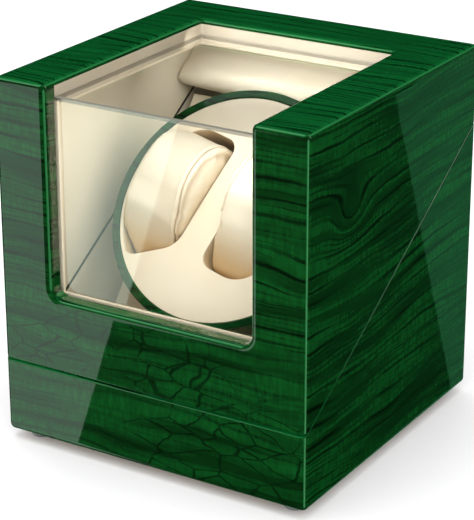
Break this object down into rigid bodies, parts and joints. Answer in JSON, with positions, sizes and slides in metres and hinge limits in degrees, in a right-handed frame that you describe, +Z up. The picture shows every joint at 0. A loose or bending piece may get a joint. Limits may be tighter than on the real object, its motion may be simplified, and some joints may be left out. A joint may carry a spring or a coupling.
{
  "type": "watch winder box",
  "caption": "Cube-shaped green lacquered watch winder with a slant-cut rear-hinged lid, window through front and top, and a tilted rotating drum holding cream pillows.",
  "frame": {"origin": "centre of the whole footprint, hinges included, on the surface under the feet", "axes": "+Z up, +Y towards the hinged back, +X to the right seen from the front"},
  "size_m": [0.178, 0.1808, 0.196],
  "materials": {
    "green_veneer": "high-gloss lacquered green veneer with dark streaks",
    "cream_leather": "smooth satin cream leatherette",
    "pillow_leather": "smooth soft cream leatherette over foam",
    "clear_pane": "clear polished pane",
    "foam": "dense foam lined with leatherette",
    "board": "fine fibre board",
    "grey_rubber": "matt grey glide",
    "belt_rubber": "matt black",
    "steel": "plain zinc-plated steel",
    "motor_can": "drawn steel can",
    "gilt_brass": "polished brass",
    "magnet_nickel": "nickel plate",
    "black_plastic": "fine matt moulded",
    "knob_plastic": "satin moulded",
    "white_plastic": "natural acetal",
    "circuit_laminate": "solder-masked laminate"
  },
  "bodies": {
    "base": {"base_shell": "green_veneer", "base_bottom_plate": "board", "bottom_screws": "steel", "foot_front_left": "grey_rubber", "foot_front_right": "grey_rubber", "foot_back_left": "grey_rubber", "foot_back_right": "grey_rubber", "base_front_lining": "cream_leather", "base_left_lining": "cream_leather", "base_right_lining": "cream_leather", "base_floor_lining": "cream_leather", "base_magnets": "magnet_nickel", "deck_board": "board", "deck_cover": "cream_leather", "deck_rails": "board", "deck_screws": "steel", "hub_bearing": "white_plastic", "motor_bracket": "steel", "gear_motor": "motor_can", "motor_screws": "steel", "drive_belt": "belt_rubber", "circuit_board": "circuit_laminate", "board_components": "black_plastic", "board_spacers": "white_plastic", "board_screws": "steel", "rear_panel": "black_plastic", "panel_screws": "steel", "dc_jack": "black_plastic", "jack_nut": "steel", "mode_switch_body": "black_plastic", "power_switch_body": "black_plastic", "hinge_base_leaves": "gilt_brass", "hinge_base_screws": "gilt_brass", "hinge_pins": "gilt_brass"},
    "lid": {"lid_shell": "green_veneer", "front_window_pane": "clear_pane", "top_window_pane": "clear_pane", "lid_front_lining": "cream_leather", "lid_top_lining": "cream_leather", "lid_left_lining": "cream_leather", "lid_right_lining": "cream_leather", "lid_back_lining": "cream_leather", "lid_rear_bolster": "cream_leather", "lid_magnets": "magnet_nickel", "hinge_lid_leaves": "gilt_brass", "hinge_lid_screws": "gilt_brass"},
    "rotor": {"drum_shell": "green_veneer", "drum_face": "cream_leather", "drum_insert": "foam", "drum_hub": "steel", "hub_screws": "steel", "drum_pulley": "white_plastic", "shaft_clip": "steel"},
    "motor_output": {"motor_shaft": "steel", "motor_pulley": "white_plastic"},
    "left_pillow": {"pillow_left": "pillow_leather"},
    "right_pillow": {"pillow_right": "pillow_leather"},
    "mode_dial": {"mode_knob": "knob_plastic"},
    "rocker": {"power_rocker": "knob_plastic"}
  },
  "joints": [
    {"name": "lid_hinge", "type": "hinge", "parent": "base", "child": "lid", "pos_m": [0, 0.0881, 0.1566], "axis": [-1, 0, 0], "range_deg": [0, 95]},
    {"name": "rotor_spin", "type": "hinge", "parent": "base", "child": "rotor", "pos_m": [0, -0.0161, 0.1208], "axis": [0, -0.7672, 0.6414], "continuous": true},
    {"name": "motor_spin", "type": "hinge", "parent": "base", "child": "motor_output", "pos_m": [0, -0.04497, 0.08628], "axis": [0, -0.7672, 0.6414], "continuous": true},
    {"name": "left_pillow_lift", "type": "slide", "parent": "rotor", "child": "left_pillow", "axis": [0, -0.7672, 0.6414], "range_m": [0, 0.038]},
    {"name": "right_pillow_lift", "type": "slide", "parent": "rotor", "child": "right_pillow", "axis": [0, -0.7672, 0.6414], "range_m": [0, 0.038]},
    {"name": "mode_dial_turn", "type": "hinge", "parent": "base", "child": "mode_dial", "pos_m": [0, 0.0776, 0.044], "axis": [0, 1, 0], "range_deg": [0, 270]},
    {"name": "power_rocker_tilt", "type": "hinge", "parent": "base", "child": "rocker", "pos_m": [0.02, 0.0756, 0.044], "axis": [-1, 0, 0], "range_deg": [0, 16]}
  ],
  "couplings": [
    {"joint": "motor_spin", "follows": "rotor_spin", "ratio": 4}
  ]
}
